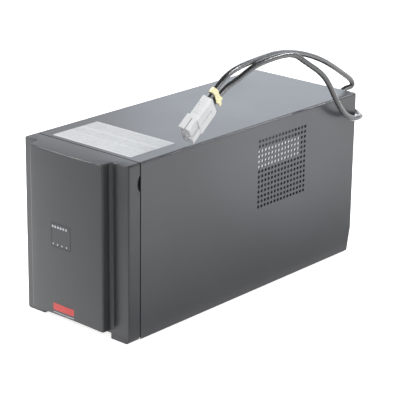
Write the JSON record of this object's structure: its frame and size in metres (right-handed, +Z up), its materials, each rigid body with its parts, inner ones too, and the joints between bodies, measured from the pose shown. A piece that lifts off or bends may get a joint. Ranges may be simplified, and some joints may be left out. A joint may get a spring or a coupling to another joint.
{
  "type": "external battery pack for backup power",
  "caption": "Tower-shaped external battery pack: folded steel cabinet with a bowed plastic front, a side vent, inner battery cartridges and a two-pole lead that loops over its top.",
  "frame": {"origin": "middle of the cabinet, on the surface that the foot pads stand on", "axes": "+X right seen from the front, -Y towards the front, +Z up"},
  "size_m": [0.1895, 0.4819, 0.3033],
  "materials": {
    "cabinet_paint": "satin charcoal powder coat",
    "bezel_plastic": "fine moulded texture",
    "zinc_steel": "zinc plated sheet",
    "screw_steel": "plated",
    "battery_case": "moulded",
    "cap_plastic": "vacuum formed",
    "lead_metal": "dull lead",
    "copper": "bare copper",
    "lead_insulation": "semi-gloss black insulation",
    "connector_plastic": "light grey moulding",
    "contact_silver": "silver plated",
    "tie_nylon": "natural nylon",
    "foam": "closed-cell foam",
    "rubber_foot": "moulded",
    "relief_plastic": "moulded",
    "fuse_plastic": "moulded"
  },
  "bodies": {
    "root": {"cover": "cabinet_paint", "floor_pan": "cabinet_paint", "battery_rails": "zinc_steel", "foot_pads": "rubber_foot", "front_bezel": "bezel_plastic", "bezel_studs": "screw_steel", "battery_door": "cabinet_paint", "door_thumbscrews": "screw_steel", "battery_front_left": "battery_case", "battery_front_right": "battery_case", "battery_rear_left": "battery_case", "battery_rear_right": "battery_case", "series_link_front": "copper", "series_link_rear": "copper", "terminal_cap_front": "cap_plastic", "terminal_cap_rear": "cap_plastic", "battery_terminals": "lead_metal", "terminal_bolts": "screw_steel", "terminal_lugs": "copper", "foam_spacer": "foam", "rear_bracket": "zinc_steel", "bracket_screws": "screw_steel", "fuse_base": "fuse_plastic", "fuse_link": "zinc_steel", "fuse_lugs": "copper", "fuse_nuts": "screw_steel", "inner_lead_link": "lead_insulation", "inner_lead_positive": "lead_insulation", "inner_lead_output": "lead_insulation", "inner_lead_negative": "lead_insulation", "strain_relief_upper": "relief_plastic", "strain_relief_lower": "relief_plastic", "power_lead_upper": "lead_insulation", "power_lead_lower": "lead_insulation", "connector_housing": "connector_plastic", "connector_contacts": "contact_silver", "lead_tie": "tie_nylon", "cover_screws": "screw_steel"}
  },
  "joints": []
}
